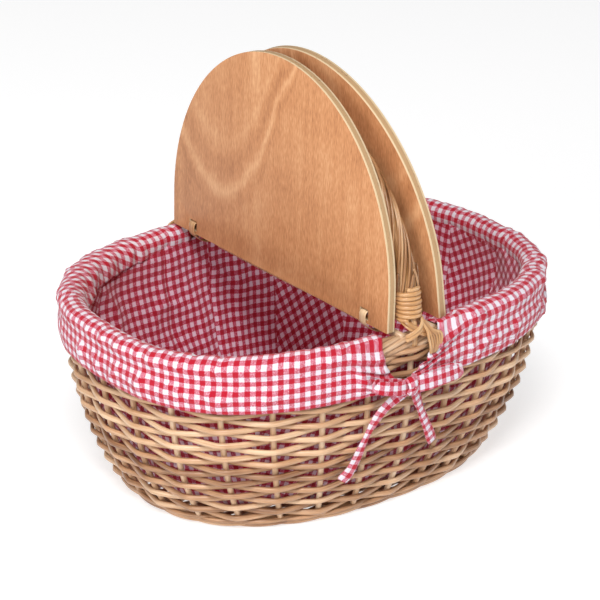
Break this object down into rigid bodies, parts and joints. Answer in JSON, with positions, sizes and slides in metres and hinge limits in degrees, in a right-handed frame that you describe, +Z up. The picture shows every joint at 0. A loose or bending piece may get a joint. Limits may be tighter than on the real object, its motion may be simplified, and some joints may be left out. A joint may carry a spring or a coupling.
{
  "type": "picnic basket",
  "caption": "Oval wicker picnic basket with a fixed wrapped handle, hinged half-oval wooden lids and a checked cloth liner folded over the rim.",
  "frame": {"origin": "on the floor, under the middle of the basket's overall bounding box", "axes": "+X along the basket's long axis towards the right-hand lid, -Y towards the front (the side the bow is seen on), +Z up"},
  "size_m": [0.493, 0.396, 0.4182],
  "materials": {
    "willow_weave": "semi-matt peeled willow, woven",
    "willow_rod": "semi-matt peeled willow rod",
    "willow_wrap": "semi-matt bundled willow rods",
    "willow_skein": "semi-matt split willow",
    "lid_plywood": "satin lacquered veneer plywood",
    "gingham": "red and white checked cotton"
  },
  "bodies": {
    "basket": {"base_weave": "willow_weave", "base_stick_long_1": "willow_rod", "base_stick_long_2": "willow_rod", "base_stick_long_3": "willow_rod", "base_stick_cross_1": "willow_rod", "base_stick_cross_2": "willow_rod", "base_stick_cross_3": "willow_rod", "base_stick_cross_4": "willow_rod", "base_stick_cross_5": "willow_rod", "foot_wale": "willow_rod", "stake_01": "willow_rod", "stake_02": "willow_rod", "stake_03": "willow_rod", "stake_04": "willow_rod", "stake_05": "willow_rod", "stake_06": "willow_rod", "stake_07": "willow_rod", "stake_08": "willow_rod", "stake_09": "willow_rod", "stake_10": "willow_rod", "stake_11": "willow_rod", "stake_12": "willow_rod", "stake_13": "willow_rod", "stake_14": "willow_rod", "stake_15": "willow_rod", "stake_16": "willow_rod", "stake_17": "willow_rod", "stake_18": "willow_rod", "stake_19": "willow_rod", "stake_20": "willow_rod", "stake_21": "willow_rod", "stake_22": "willow_rod", "stake_23": "willow_rod", "stake_24": "willow_rod", "stake_25": "willow_rod", "stake_26": "willow_rod", "stake_27": "willow_rod", "stake_28": "willow_rod", "wall_weave": "willow_weave", "rim_border": "willow_weave", "bridge_rod_left": "willow_rod", "bridge_rod_right": "willow_rod", "bridge_weave": "willow_weave", "handle_core": "willow_rod", "handle_wrap": "willow_wrap", "handle_binding_front": "willow_skein", "handle_binding_back": "willow_skein", "handle_lashing_front_left": "willow_skein", "handle_lashing_front_right": "willow_skein", "handle_lashing_back_left": "willow_skein", "handle_lashing_back_right": "willow_skein", "lid_loop_left_front": "willow_skein", "lid_loop_left_back": "willow_skein", "lid_loop_right_front": "willow_skein", "lid_loop_right_back": "willow_skein", "liner": "gingham", "tie_front": "gingham", "tie_back": "gingham"},
    "lid_left": {"lid_left": "lid_plywood"},
    "lid_right": {"lid_right": "lid_plywood"}
  },
  "joints": [
    {"name": "lid_left_hinge", "type": "hinge", "parent": "basket", "child": "lid_left", "pos_m": [-0.0303, 0, 0.2067], "axis": [0, 1, 0], "range_deg": [-92, 0]},
    {"name": "lid_right_hinge", "type": "hinge", "parent": "basket", "child": "lid_right", "pos_m": [0.0303, 0, 0.2067], "axis": [0, 1, 0], "range_deg": [0, 97.2]}
  ]
}
